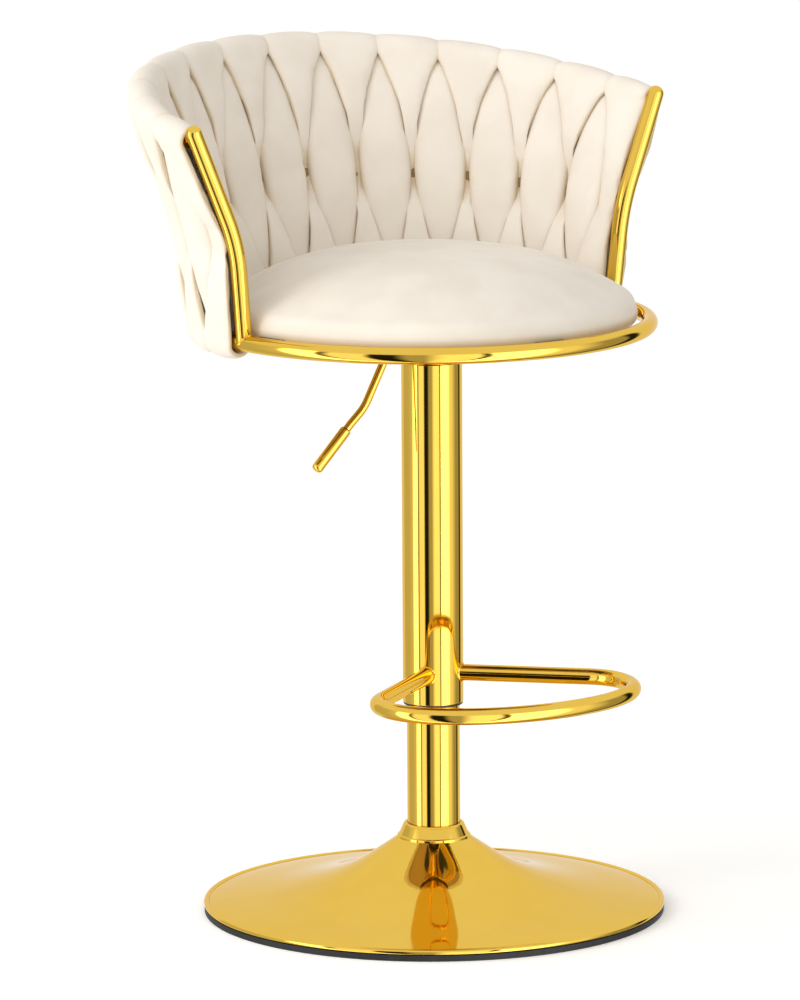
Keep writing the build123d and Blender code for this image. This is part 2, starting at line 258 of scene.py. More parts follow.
@dataclass(frozen=True)
class PlatedSteel(Finish):
    """Steel tube and sheet, buffed and plated: a mirror with a trace of haze and orange peel."""

    colour: str = "ECC558"
    haze_colour: str = "E6BC4B"
    edge_colour: str = "F7EACB"
    roughness: float = 0.045

    def shade(self, tree: Tree, surface: Node, place: Socket) -> None:
        """See Finish.shade."""
        # Faint clouding of the plating keeps large curved areas from looking computed.
        clouds = blotches(tree, place, 40 * MM)
        self.tone(tree, surface, clouds, self.colour, self.haze_colour)
        surface.inputs["Metallic"].default_value = 1.0
        # The plating keeps its warmth even where the eye grazes along it.
        surface.inputs["Specular Tint"].default_value = srgb(self.edge_colour)
        # Handling marks: patches a little duller than the buffed metal round them.
        wipes = ramp(tree, blotches(tree, place, 18 * MM, 4.0), 0.35, 0.75,
                     self.roughness, self.roughness + 0.035)
        tree.links.new(wipes, surface.inputs["Roughness"])
        # Orange peel of the polished sheet bends long reflections very slightly.
        peel = bump(tree, blotches(tree, place, 6 * MM, 1.0), 0.05, 0.12 * MM)
        tree.links.new(peel, surface.inputs["Normal"])


@dataclass(frozen=True)
class BareSteel(Finish):
    """Turned or stamped steel under the seat and in the column: grey, oiled, faintly streaked."""

    colour: str = "9A9C9E"
    shade_colour: str = "76787B"

    def shade(self, tree: Tree, surface: Node, place: Socket) -> None:
        """See Finish.shade."""
        # Rings left by turning: fine along the axis, long round it.
        squeezed = add_node(tree, "ShaderNodeMapping",
                            inputs={"Vector": place, "Scale": (1.0, 1.0, 12.0)})
        turning = blotches(tree, squeezed.outputs["Vector"], 4 * MM, 4.0)
        self.tone(tree, surface, turning, self.colour, self.shade_colour)
        surface.inputs["Metallic"].default_value = 1.0
        tree.links.new(ramp(tree, turning, 0.3, 0.7, 0.25, 0.42), surface.inputs["Roughness"])


@dataclass(frozen=True)
class PowderCoat(Finish):
    """Black powder-coated plate: satin, with the fine pebble of the cured powder."""

    colour: str = "17181A"
    pale_colour: str = "26282B"

    def shade(self, tree: Tree, surface: Node, place: Socket) -> None:
        """See Finish.shade."""
        # The cured powder's pebble breaks up the highlight.
        pebble = blotches(tree, place, 0.5 * MM, 2.0)
        self.tone(tree, surface, pebble, self.colour, self.pale_colour)
        surface.inputs["Roughness"].default_value = 0.48
        tree.links.new(bump(tree, pebble, 0.3, 0.05 * MM), surface.inputs["Normal"])


@dataclass(frozen=True)
class MouldedBlack(Finish):
    """Moulded rubber or nylon: near black, slightly dusty, with a low even sheen."""

    colour: str = "121212"
    dust_colour: str = "2A2927"
    roughness: float = 0.6

    def shade(self, tree: Tree, surface: Node, place: Socket) -> None:
        """See Finish.shade."""
        # Dust in patches, paler and rougher than the clean moulding.
        dust = ramp(tree, blotches(tree, place, 9 * MM, 4.0), 0.45, 0.8)
        self.tone(tree, surface, dust, self.colour, self.dust_colour)
        tree.links.new(ramp(tree, dust, 0.0, 1.0, self.roughness, self.roughness + 0.15),
                       surface.inputs["Roughness"])


@dataclass(frozen=True)
class Plywood(Finish):
    """Birch plywood: long pale grain on the face and dark glue lines on the edge."""

    colour: str = "C8A878"
    grain_colour: str = "A88353"
    glue_colour: str = "6E4E2A"
    ply: float = 1.5 * MM

    def shade(self, tree: Tree, surface: Node, place: Socket) -> None:
        """See Finish.shade."""
        # Long grain over the face, and a dark line of glue between two plies.
        grain_place = add_node(tree, "ShaderNodeMapping",
                               inputs={"Vector": place, "Scale": (1.0, 12.0, 12.0)})
        grain = blotches(tree, grain_place.outputs["Vector"], 25 * MM, 6.0)
        plies = add_node(tree, "ShaderNodeTexWave", wave_type="BANDS", bands_direction="Z",
                         inputs={"Vector": place, "Scale": BAND_SCALE / self.ply,
                                 "Distortion": 0.4})
        wood = mixed(tree, grain, srgb(self.colour), srgb(self.grain_colour))
        lines = ramp(tree, plies.outputs["Fac"], 0.8, 1.0, 0.0, 0.35)
        tree.links.new(mixed(tree, lines, wood, srgb(self.glue_colour)),
                       surface.inputs["Base Color"])
        surface.inputs["Roughness"].default_value = 0.62


@dataclass(frozen=True)
class Velvet(Finish):
    """Short-pile velvet: soft sheen, brushed lighter and darker, and painted warm shade down in its
    folds.
    """

    colour: str = "EAE2D6"
    brushed_colour: str = "E5DCCF"
    fold_shade_colour: str = "C2A878"
    root_colour: str = "CFC3AE"
    sheen_colour: str = "FFF8EC"
    pile: float = 0.55 * MM

    def shade(self, tree: Tree, surface: Node, place: Socket) -> None:
        """See Finish.shade."""
        # Broad patches where the pile was brushed the other way.
        brushed = ramp(tree, blotches(tree, place, 45 * MM, 2.0), 0.35, 0.68)
        cloth = mixed(tree, brushed, srgb(self.colour), srgb(self.brushed_colour))
        # The tips of the pile catch light one by one.
        tips = blotches(tree, place, self.pile, 2.0, 0.6)
        grain = mixed(tree, ramp(tree, tips, 0.25, 0.75, 0.0, 0.5), cloth,
                      srgb(self.root_colour), "MULTIPLY")
        toned = mixed(tree, 0.22, cloth, grain)
        # Light that goes down into a fold comes back warmer with each bounce.
        crease = add_node(tree, "ShaderNodeAttribute", attribute_name=CREASE).outputs["Fac"]
        tree.links.new(mixed(tree, crease, toned, srgb(self.fold_shade_colour)),
                       surface.inputs["Base Color"])
        surface.inputs["Roughness"].default_value = 0.88
        surface.inputs["Specular IOR Level"].default_value = 0.18
        surface.inputs["Sheen Weight"].default_value = 0.22
        surface.inputs["Sheen Roughness"].default_value = 0.45
        surface.inputs["Sheen Tint"].default_value = srgb(self.sheen_colour)
        # The pile's nap, and the faint waviness of foam below it.
        nap = bump(tree, tips, 0.35, 0.12 * MM)
        wavy = bump(tree, blotches(tree, place, 16 * MM, 1.0), 0.12, 1.2 * MM, nap)
        tree.links.new(wavy, surface.inputs["Normal"])


@dataclass(frozen=True)
class Webbing(Finish):
    """Flat woven tape: tan ribs across its width, paler on their crowns, with painted shade in the
    hollows between them.
    """

    colour: str = "A08457"
    hollow_shade_colour: str = "7E6337"
    rib: float = 1.1 * MM

    def shade(self, tree: Tree, surface: Node, place: Socket) -> None:
        """See Finish.shade."""
        # The weave's ribs, slightly uneven, as tape is; the colour follows them, with painted shade
        # in the hollows between ribs.
        wave = add_node(tree, "ShaderNodeTexWave", wave_type="BANDS", bands_direction="Z",
                        inputs={"Vector": place, "Scale": BAND_SCALE / self.rib,
                                "Distortion": 1.5, "Detail": 2.0, "Detail Scale": 3.0})
        ribs = wave.outputs["Fac"]
        self.tone(tree, surface, ribs, self.hollow_shade_colour, self.colour)
        surface.inputs["Roughness"].default_value = 0.85
        tree.links.new(bump(tree, ribs, 0.5, 0.15 * MM), surface.inputs["Normal"])


@dataclass(frozen=True)
class PaleFloor(Finish):
    """Seamless white studio floor: matt paint with a barely visible unevenness."""

    colour: str = "FBFAF8"
    scuffed_colour: str = "F8F7F5"

    def shade(self, tree: Tree, surface: Node, place: Socket) -> None:
        """See Finish.shade."""
        # Broad scuffs keep the white from being one flat value.
        scuffs = blotches(tree, place, 0.6)
        self.tone(tree, surface, scuffs, self.colour, self.scuffed_colour)
        surface.inputs["Roughness"].default_value = 0.9
        surface.inputs["Specular IOR Level"].default_value = 0.1
        # The sweep is translucent and lit from below, which washes the shadows out.
        surface.inputs["Emission Color"].default_value = (0.98, 0.99, 1.0, 1.0)
        surface.inputs["Emission Strength"].default_value = 0.16


class Slot(Enum):
    """The record's material slots, each with the finish that stands for it."""

    GOLD = ("gold_plated_steel", PlatedSteel("gold_plated_mirror_steel"))
    STEEL = ("bare_steel", BareSteel("turned_oiled_steel"))
    BLACK_STEEL = ("black_steel", PowderCoat("black_powder_coated_steel"))
    RUBBER = ("black_rubber", MouldedBlack("black_moulded_rubber"))
    NYLON = ("black_nylon", MouldedBlack("black_moulded_nylon", roughness=0.42))
    PLY = ("plywood", Plywood("birch_plywood"))
    VELVET = ("cream_velvet", Velvet("cream_short_pile_velvet"))
    WEBBING = ("tan_webbing", Webbing("tan_ribbed_webbing"))


class Palette:
    """Makes each slot's material once and puts it on pieces."""

    def __init__(self) -> None:
        self.materials = {slot: slot.value[1].make() for slot in Slot}

    def add_piece(self, name: str, bm: Mesh, body: str, node: str, slot: Slot,
                  soft: bool = False) -> Piece:
        """Turn a finished mesh into a smooth-shaded piece that rides on a body.

        Args:
            name: the piece's name.
            bm: its mesh, which is freed.
            body: the CAD body that carries it.
            node: the CAD node that it stands for.
            slot: its material slot.
            soft: whether even its steep edges are shaded round, as on a cushion.
        Returns:
            The new object.
        """
        bmesh.ops.remove_doubles(bm, verts=bm.verts, dist=MERGE)
        bmesh.ops.recalc_face_normals(bm, faces=bm.faces)
        mesh = bpy.data.meshes.new(name)
        bm.to_mesh(mesh)
        bm.free()
        mesh.shade_smooth()
        if not soft:
            mesh.set_sharp_from_angle(angle=math.radians(35))
        piece = add_object(name, mesh)
        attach(piece, body)
        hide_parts(node)
        mesh.materials.append(self.materials[slot])
        return piece

    def dress_node(self, node: Piece, slot: Slot) -> None:
        """Give a CAD node the material through its object's own slots.

        Args:
            node: the CAD object.
            slot: its material slot.
        """
        for holder in node.material_slots:
            holder.link = "OBJECT"
            holder.material = self.materials[slot]


# ------------------------------------------------------------------ mesh helpers
def add_object(name: str, data: bpy.types.ID) -> Piece:
    """Put a new object in the scene.

    Args:
        name: the object's name.
        data: its mesh, camera or light.
    Returns:
        The new object.
    """
    made = bpy.data.objects.new(name, data)
    bpy.context.scene.collection.objects.link(made)
    return made


def in_metres(outline: Profile) -> Profile:
    """An outline given in millimetres, in metres."""
    return [(r * MM, z * MM) for r, z in outline]


def smooth_profile(knots: Profile, count: int) -> Profile:
    """Run a natural cubic spline through the knots, so that a mirror finish shows no kink.

    Args:
        knots: points that the line passes through.
        count: how many points to return.
    Returns:
        Evenly spaced points along the spline.
    """
    points = np.array(knots)
    run = np.concatenate([[0], np.cumsum(np.linalg.norm(np.diff(points, axis=0), axis=1))])
    gaps = np.diff(run)
    size = len(run)
    system, right = np.eye(size), np.zeros((size, 2))
    for i in range(1, size - 1):
        system[i, i - 1:i + 2] = gaps[i - 1], 2 * (gaps[i - 1] + gaps[i]), gaps[i]
        right[i] = 6 * ((points[i + 1] - points[i]) / gaps[i]
                        - (points[i] - points[i - 1]) / gaps[i - 1])
    bend = np.linalg.solve(system, right)
    line = []
    for s in np.linspace(0, run[-1], count):
        i = min(int(np.searchsorted(run, s, side="right")) - 1, size - 2)
        a, b, h = run[i + 1] - s, s - run[i], gaps[i]
        at = (bend[i] * a ** 3 + bend[i + 1] * b ** 3) / (6 * h) \
            + (points[i] / h - bend[i] * h / 6) * a + (points[i + 1] / h - bend[i + 1] * h / 6) * b
        line.append((float(at[0]), float(at[1])))
    return line


def lathe(bm: Mesh, profile: Profile, rounding: dict[int, float] | None = None,
          centre_y: float = 0.0, closed: bool = True, steps: int = 192) -> None:
    """Spin a profile a full turn round a vertical axis.

    Args:
        bm: the mesh that gets the surface.
        profile: (radius, height) points, in metres.
        rounding: corner radius for the points that have one, by their number.
        centre_y: where the axis stands.
        closed: whether the profile's last point joins its first.
        steps: how many steps make the turn.
    """
    chain = [bm.verts.new((r, centre_y, z)) for r, z in profile]
    pairs = list(zip(chain, chain[1:])) + ([(chain[-1], chain[0])] if closed else [])
    edges = [bm.edges.new(pair) for pair in pairs]
    geometry = set(chain) | set(edges)
    for number, radius in (rounding or {}).items():
        made = bmesh.ops.bevel(bm, geom=[chain[number]], offset=radius, offset_type="OFFSET",
                               affect="VERTICES", segments=5, profile=0.5)
        geometry |= set(made["verts"]) | set(made["edges"])
    geometry = [g for g in geometry if g.is_valid]
    wire = {e for v in geometry if isinstance(v, bmesh.types.BMVert) for e in v.link_edges}
    bmesh.ops.spin(bm, geom=[g for g in geometry if isinstance(g, bmesh.types.BMVert)] + list(wire),
                   cent=(0, centre_y, 0), axis=(0, 0, 1), angle=math.tau, steps=steps,
                   use_merge=True, use_duplicate=False)
    bmesh.ops.remove_doubles(bm, verts=bm.verts, dist=MERGE)


def rounded_route(corners: list[Vector], radii: list[float], turn_steps: int = 14) -> list[Vector]:
    """A tube's centre line with its corners bent to their radii.

    Args:
        corners: the ends and corners of the runs.
        radii: bend radius at each inner corner.
        turn_steps: points on each bend.
    Returns:
        The points of the line.
    """
    line = [corners[0].copy()]
    for before, corner, after, radius in zip(corners, corners[1:], corners[2:], radii):
        d0, d1 = (corner - before).normalized(), (after - corner).normalized()
        turn = d0.angle(d1)
        start = corner - d0 * radius * math.tan(turn / 2)
        axis = d0.cross(d1).normalized()
        centre = start + axis.cross(d0) * radius
        for i in range(turn_steps + 1):
            spun = Matrix.Rotation(turn * i / turn_steps, 3, axis)
            line.append(centre + spun @ (start - centre))
    line.append(corners[-1].copy())
    return line


def spaced(line: list[Vector], step: float) -> list[Vector]:
    """Divide long stretches of a line.

    Args:
        line: the points.
        step: longest stretch to leave.
    Returns:
        The points with others between them.
    """
    full = [line[0]]
    for a, b in zip(line, line[1:]):
        parts = max(1, math.ceil((b - a).length / step))
        full += [a.lerp(b, (i + 1) / parts) for i in range(parts)]
    return full


def divided_tube(bm: Mesh, segments: int, lengths: int, capped: bool) -> None:
    """Add a straight tube of radius 1 and length 1, cut into even lengths.

    Args:
        bm: the mesh that gets the tube.
        segments: faces round it.
        lengths: how many lengths it is cut into.
        capped: whether its ends are closed.
    """
    made = bmesh.ops.create_cone(bm, cap_ends=capped, segments=segments,
                                 radius1=1, radius2=1, depth=1)
    sides = {e for v in made["verts"] for e in v.link_edges
             if abs(e.verts[0].co.z - e.verts[1].co.z) > 0.5}
    bmesh.ops.subdivide_edges(bm, edges=list(sides), cuts=lengths - 1)


def pipe(bm: Mesh, line: list[Vector], radius: float, segments: int = 40,
         round_end: float = 0.0, round_start: float = 0.0) -> None:
    """Draw a round bar along a line, with flat or rounded ends.

    Args:
        bm: the mesh that gets the bar.
        line: its centre line.
        radius: its radius.
        segments: faces round it.
        round_end: how far back from the last point the bar rounds off.
        round_start: the same at the first point.
    """
    runs = [0.0, *accumulate((b - a).length for a, b in zip(line, line[1:]))]
    total = runs[-1]

    def at(distance: float) -> tuple[Vector, Vector]:
        """Point and heading at a distance along the line."""
        i = min(max(int(np.searchsorted(runs, distance, side="right")) - 1, 0), len(line) - 2)
        part = (distance - runs[i]) / (runs[i + 1] - runs[i])
        return line[i].lerp(line[i + 1], part), (line[i + 1] - line[i]).normalized()

    def girth(distance: float) -> float:
        """Radius at a distance along the line, smaller where an end rounds off."""
        for reach, left in ((round_end, total - distance), (round_start, distance)):
            if reach and left < reach:
                drop = 1 - left / reach
                return radius - min(reach, radius) * (1 - math.sqrt(max(0.0, 1 - drop * drop)))
        return radius

    stops = list(runs)
    for reach, end, sign in ((round_end, total, -1), (round_start, 0.0, 1)):
        if reach:
            stops = [s for s in stops if abs(s - end) > reach or s == end]
            stops += [end + sign * reach * (1 - math.sin(math.pi / 2 * i / 10)) for i in range(10)]
    stops = sorted(set(stops))
    divided_tube(bm, segments, len(stops) - 1, True)
    heading = at(0.0)[1]
    across = heading.orthogonal().normalized()
    small = 1e-4
    frames = []
    for s in stops:
        centre, _ = at(s)
        ahead = (at(min(s + small, total))[0] - at(max(s - small, 0.0))[0]).normalized()
        across = (heading.rotation_difference(ahead) @ across).normalized()
        heading = ahead
        frames.append((centre, across, heading.cross(across), girth(s)))
    fresh = [v for v in bm.verts if not v.tag]
    for v in fresh:
        centre, side, other, size = frames[round((v.co.z + 0.5) * (len(stops) - 1))]
        v.co = centre + (side * v.co.x + other * v.co.y) * size
        v.tag = True


def wipe_noise(point: Vector, size: float, seed: float) -> float:
    """Smooth noise with blotches of a real size.

    Args:
        point: where, in metres.
        size: size of a blotch.
        seed: moves the pattern.
    Returns:
        A value from about -1 to 1.
    """
    return noise.noise(point / size + Vector((seed, 1.7 * seed, -0.6 * seed)))


# ------------------------------------------------------------------ padded cloth
@dataclass
class Stuffing:
    """Cloth simulation that fills out padded pieces, each pinned where it is held."""

    pressure: float = 4.0
    frames: int = 20
    growth: float = 0.03
    pin_group: str = "held"

    def prepare(self, piece: Piece, held: Callable[[Vector, int], float]) -> None:
        """Add the cloth and its pins to a piece.

        Args:
            piece: the padded piece.
            held: gives from 0, free, to 1, held, for a vertex.
        """
        group = piece.vertex_groups.new(name=self.pin_group)
        for v in piece.data.vertices:
            group.add([v.index], held(v.co, v.index), "REPLACE")
        cloth = piece.modifiers.new("Stuffing", "CLOTH")
        wanted = cloth.settings
        wanted.quality = 4
        wanted.mass = 0.2
        wanted.tension_stiffness = 20
        wanted.compression_stiffness = 20
        wanted.bending_stiffness = 0.8
        wanted.air_damping = 4
        wanted.use_pressure = True
        wanted.uniform_pressure_force = self.pressure
        wanted.shrink_min = -self.growth
        wanted.vertex_group_mass = self.pin_group
        wanted.pin_stiffness = 1.0
        wanted.effector_weights.gravity = 0
        cloth.collision_settings.use_collision = False
        cloth.point_cache.frame_start = 1
        cloth.point_cache.frame_end = self.frames

    def run(self, pieces: SoftPieces) -> None:
        """Simulate all prepared pieces together and keep the result.

        Args:
            pieces: each piece with the furthest that a point of it may move.
        """
        scene = bpy.context.scene
        for frame in range(1, self.frames + 1):
            scene.frame_set(frame)
        for piece, cap in pieces:
            self.keep(piece, cap)
            piece.modifiers.remove(piece.modifiers["Stuffing"])
            piece.vertex_groups.clear()
        scene.frame_set(1)

    def keep(self, piece: Piece, cap: float) -> None:
        """Write the simulated shape into the piece's mesh.

        Args:
            piece: the simulated piece.
            cap: the furthest that a point may move.
        """
        graph = bpy.context.evaluated_depsgraph_get()
        puffed = piece.evaluated_get(graph).data
        furthest = 0.0
        for v, moved in zip(piece.data.vertices, puffed.vertices):
            shift = moved.co - v.co
            furthest = max(furthest, shift.length)
            if shift.length > 1e-9:
                v.co = v.co + shift.normalized() * cap * math.tanh(shift.length / cap)
        log.info("%s moved by up to %.1f mm", piece.name, furthest / MM)


# ------------------------------------------------------------------ back
@dataclass(frozen=True)
class BackSurface:
    """The flared surface through the seat ring and the top rail, on which the straps lie."""

    ring_radius: float
    ring_height: float
    setback: float
    rail_half_width: float = 250 * MM
    rail_depth: float = 275 * MM
    rail_height: float = 718.6 * MM
    rail_slope: float = 0.157
    side_bow: float = 6 * MM
    post_bow: float = 8 * MM
    post_reach: float = math.radians(12)

    def foot(self, angle: float) -> Vector:
        """Point on the ring's centre line at this angle, in radians."""
        return Vector((self.ring_radius * math.cos(angle),
                       self.setback + self.ring_radius * math.sin(angle), self.ring_height))

    def head(self, angle: float) -> Vector:
        """Point on the rail's centre line at this angle, in radians."""
        depth = self.rail_depth * math.sin(angle)
        return Vector((self.rail_half_width * math.cos(angle), depth,
                       self.rail_height + self.rail_slope * depth))

    def frame(self, angle: float, climb: float) -> tuple[Vector, Vector, Vector]:
        """Where a point of the surface is, and which way it faces.

        Args:
            angle: round the back, in radians.
            climb: from 0 at the ring to 1 at the rail.
        Returns:
            The point, the direction up the surface and the direction out of it.
        """
        small = 0.01
        foot, head = self.foot(angle), self.head(angle)
        point = foot.lerp(head, climb)
        beside = self.foot(angle + small).lerp(self.head(angle + small), climb)
        up = (head - foot).normalized()
        out = (beside - point).cross(up).normalized()
        # The sides bow in between ring and rail, most of all next to the bent uprights.
        from_post = min(angle, math.pi - angle)
        bow = (self.side_bow * math.cos(angle) ** 2
               + self.post_bow * math.exp(-(from_post / self.post_reach) ** 2))
        return point - out * bow * 4 * climb * (1 - climb), up, out

    def front_angle(self, climb: float, clearance: float) -> float:
        """Angle at which the surface is this far behind the uprights' plane."""
        shift = self.setback * (1 - climb)
        reach = self.ring_radius + (self.rail_depth - self.ring_radius) * climb
        return math.asin((clearance - shift) / reach)


@dataclass(frozen=True)
class Petal:
    """Outline and fullness of the lens-shaped straps, shared with the long straps they cross."""

    low_tip: float = 0.05
    high_tip: float = 0.985
    half_angle: float = math.radians(6.05)
    underlap: float = math.radians(1.25)
    inner_bulge: float = 11.8 * MM
    outer_bulge: float = 10.6 * MM
    squareness: float = 2.9

    def spread(self, climb: float) -> float:
        """Half the petal's width at this height, in radians round the back.

        Args:
            climb: from 0 at the ring to 1 at the rail.
        Returns:
            Half the width that shows.
        """
        x = (climb - self.low_tip) / (self.high_tip - self.low_tip)
        if not 0 < x < 1:
            return 0.0
        return self.half_angle * math.sin(math.pi * x) ** 0.85

    def reach(self, climb: float) -> float:
        """Half the petal's true width, with what lies hidden under the long straps."""
        covered = self.spread(climb)
        return covered + self.underlap * (1 - covered / self.half_angle) * min(
            1.0, covered / math.radians(1.5))

    def fullness(self, climb: float) -> float:
        """How full the petal is at this height, from 0 at its tips to 1."""
        x = (climb - self.low_tip) / (self.high_tip - self.low_tip)
        return max(0.0, math.sin(math.pi * min(max(x, 0.0), 1.0))) ** 0.22


@dataclass(frozen=True)
class LongStrap:
    """The strap that runs up the inside, over the rail, down the outside and under the ring."""

    rail_wrap: float = 9.4 * MM
    ring_wrap: float = 10.6 * MM
    half_thickness: float = 2.9 * MM
    crown: float = 2.0 * MM
    pinch_height: float = 0.49
    pinch_reach: float = 0.17
    pinch_depth: float = 1.1 * MM
    pinch_squeeze: float = 0.72
    post_pinch: float = 0.55
    post_closing: float = 0.58
    squareness: float = 4.0
    tuck: float = math.radians(0.45)

    def pinch(self, climb: float) -> float:
        """How strongly the strap is pulled in to the band, from 0 to 1."""
        return math.exp(-((climb - self.pinch_height) / self.pinch_reach) ** 2)


def power(value: float, exponent: float) -> float:
    """Raise a value to a power and keep its sign."""
    return math.copysign(abs(value) ** exponent, value)


def edge_crease(across: float) -> float:
    """How deep in the seam a point lies, from its place -1 to 1 across a strap; it sets the painted
    warm shade along each seam and how firmly the cloth is held there.
    """
    return 0.6 * abs(across) ** 16


@dataclass
class WovenBack:
    """The padded velvet back: petals between long straps that cross them over ring and rail."""

    surface: BackSurface
    petal: Petal = Petal()
    strap: LongStrap = LongStrap()
    petal_count: int = 13
    first_petal: float = math.radians(12)
    pitch: float = math.radians(13)
    post_clearance: float = 5.8 * MM
    post_overlap: float = 4.5 * MM
    post_swell: float = 5.0 * MM
    closing: float = math.radians(5.5)
    height: float = 200 * MM
    most_puff: float = 2.5 * MM
    sections: int = 128
    girth: int = 28

    def petal_angle(self, number: int) -> float:
        """Where a petal's middle lies round the back, in radians."""
        return self.first_petal + self.pitch * number

    def strap_limits(self, number: int, climb: float, outside: bool) -> tuple[float, float]:
        """The angles between which a long strap lies at this height.

        Args:
            number: the strap's number, from 0 next to the right upright.
            climb: from 0 at the ring to 1 at the rail.
            outside: whether the edges of its outer layer are asked for.
        Returns:
            Its two edges, in radians round the back.
        """
        covered = self.petal.spread(climb)
        tucked = self.strap.tuck
        overlap = self.post_overlap * self.mid_height(climb) if outside else 0.0
        low = self.surface.front_angle(climb, self.post_clearance - overlap)
        high = math.pi - low
        if number > 0:
            low = self.petal_angle(number - 1) + covered - tucked
        if number < self.petal_count:
            high = self.petal_angle(number) - covered + tucked
        return low, high

    @staticmethod
    def mid_height(climb: float) -> float:
        """Blend that is 0 at ring and rail, and 1 over most of the height between them."""
        return min(1.0, 6 * climb * (1 - climb)) if 0 < climb < 1 else 0.0

    def strap_point(self, number: int, run: float, turn: float) -> tuple[Vector, float]:
        """A point on a long strap's surface.

        Args:
            number: the strap's number.
            run: from 0 to 1 along its closed loop, from the inside's foot.
            turn: angle round its cross-section, in radians.
        Returns:
            The point, and how deep in a crease it is, from 0 to 1.
        """
        s = self.strap
        climb_length = (self.surface.head(math.pi / 2) - self.surface.foot(math.pi / 2)).length
        lengths = [climb_length, math.pi * s.rail_wrap, climb_length, math.pi * s.ring_wrap]
        distance = run * sum(lengths)
        part = 0
        while part < 3 and distance > lengths[part]:
            distance -= lengths[part]
            part += 1
        share = distance / lengths[part]
        climb = (share, 1.0, 1.0 - share, 0.0)[part]
        low, high = self.strap_limits(number, climb, part == 2)
        at_post = number in (0, self.petal_count)
        pull = s.pinch(climb) * (s.post_pinch if at_post else 1.0)
        across = power(math.cos(turn), 2 / s.squareness)
        rise = power(math.sin(turn), 2 / s.squareness)
        width = (high - low) / 2
        angle = (low + high) / 2 + width * across
        thick = s.half_thickness * (1 - s.pinch_squeeze * pull)
        lift = thick * rise
        if rise > 0:
            lift += s.crown * (1 - pull) * (1 - across * across)
        wrap = s.ring_wrap + (s.rail_wrap - s.ring_wrap) * climb
        wrap = wrap * (1 - pull) + s.pinch_depth * pull
        if at_post and part in (0, 2):
            # Next to an upright the inner layer closes in behind it, and the outer one
            # swells round its outside.
            from_post = min(angle, math.pi - angle) - min(low, math.pi - high)
            near = 1 - math.sin(math.pi / 2 * min(1.0, max(0.0, from_post / self.closing)))
            if part == 0:
                wrap *= 1 - s.post_closing * near
            else:
                wrap += self.post_swell * near * self.mid_height(climb)
        point, up, out = self.surface.frame(angle, climb)
        if part in (0, 2):
            side = -1 if part == 0 else 1
            place = point + out * side * (wrap + lift)
        else:
            swing = math.pi * (1 - share) if part == 1 else -math.pi * share
            reach = wrap + lift
            place = point + (out * math.cos(swing) + up * math.sin(swing)) * reach
        # The crease value sets painted warm shade: along the edges, and where the strap is pulled
        # in deep to the band.
        return place, min(1.0, edge_crease(across) + 0.55 * pull ** 4)

    def petal_point(self, number: int, climb: float, turn: float) -> tuple[Vector, float]:
        """A point on a petal's surface.

        Args:
            number: the petal's number.
            climb: from its low tip to its high tip, as a height on the surface.
            turn: angle round its cross-section, in radians; half a turn is its inner face.
        Returns:
            The point, and how deep in a crease it is, from 0 to 1.
        """
        p = self.petal
        across = power(math.cos(turn), 2 / p.squareness)
        rise = power(math.sin(turn), 2 / p.squareness)
        angle = self.petal_angle(number) + p.reach(climb) * across
        point, _, out = self.surface.frame(angle, climb)
        bulge = (p.outer_bulge if rise > 0 else p.inner_bulge) * p.fullness(climb)
        return point + out * rise * bulge, edge_crease(across)

    @staticmethod
    def wrinkle(place: Vector, climb: float, seed: float) -> float:
        """How far folds near the tips and a general unevenness lift the cloth, in metres."""
        gather = math.exp(-((1 - climb) / 0.16) ** 2) + 0.6 * math.exp(-(climb / 0.2) ** 2)
        folds = wipe_noise(Vector((place.x, place.y, place.z * 0.22)), 9 * MM, seed)
        return 0.5 * MM * wipe_noise(place, 24 * MM, seed) + 0.7 * MM * gather * folds

    def ruffle(self, palette: Palette, bm: Mesh, place_number: int, seed: float) -> Piece:
        """Wrinkle a strap's cloth and turn its mesh into a piece.

        Args:
            palette: the materials.
            bm: the strap's mesh.
            place_number: its place round the back, from 1 at the right upright.
            seed: moves the pattern of the wrinkles.
        Returns:
            The new piece.
        """
        bmesh.ops.recalc_face_normals(bm, faces=bm.faces)
        for v in bm.verts:
            climb = (v.co.z - self.surface.ring_height) / self.height
            v.co += v.normal * self.wrinkle(v.co, climb, seed)
        node = f"back_strap_{place_number:02d}"
        return palette.add_piece(f"velvet_{node}", bm, "seat", node, Slot.VELVET, soft=True)

    def build_strap(self, palette: Palette, number: int) -> Piece:
        """Make one long strap.

        Args:
            palette: the materials.
            number: the strap's number.
        Returns:
            The new piece.
        """
        bm = bmesh.new()
        crease = bm.verts.layers.float.new(CREASE)
        divided_tube(bm, self.girth, self.sections, False)
        for v in bm.verts:
            turn = math.atan2(v.co.y, v.co.x)
            run = round((v.co.z + 0.5) * self.sections) / self.sections
            place, v[crease] = self.strap_point(number, run % 1.0, turn)
            v.co = place
        bmesh.ops.remove_doubles(bm, verts=bm.verts, dist=MERGE)
        return self.ruffle(palette, bm, 2 * number + 1, 3.1 * number + 1)

    def build_petal(self, palette: Palette, number: int) -> Piece:
        """Make one petal.

        Args:
            palette: the materials.
            number: the petal's number.
        Returns:
            The new piece.
        """
        bm = bmesh.new()
        crease = bm.verts.layers.float.new(CREASE)
        bmesh.ops.create_uvsphere(bm, u_segments=self.girth, v_segments=64, radius=1)
        p = self.petal
        for v in bm.verts:
            share = 1 - math.acos(max(-1.0, min(1.0, v.co.z))) / math.pi
            climb = p.low_tip + (p.high_tip - p.low_tip) * share
            turn = math.atan2(v.co.y, v.co.x)
            place, v[crease] = self.petal_point(number, climb, turn)
            v.co = place
        return self.ruffle(palette, bm, 2 * number + 2, 2.3 * number + 40)

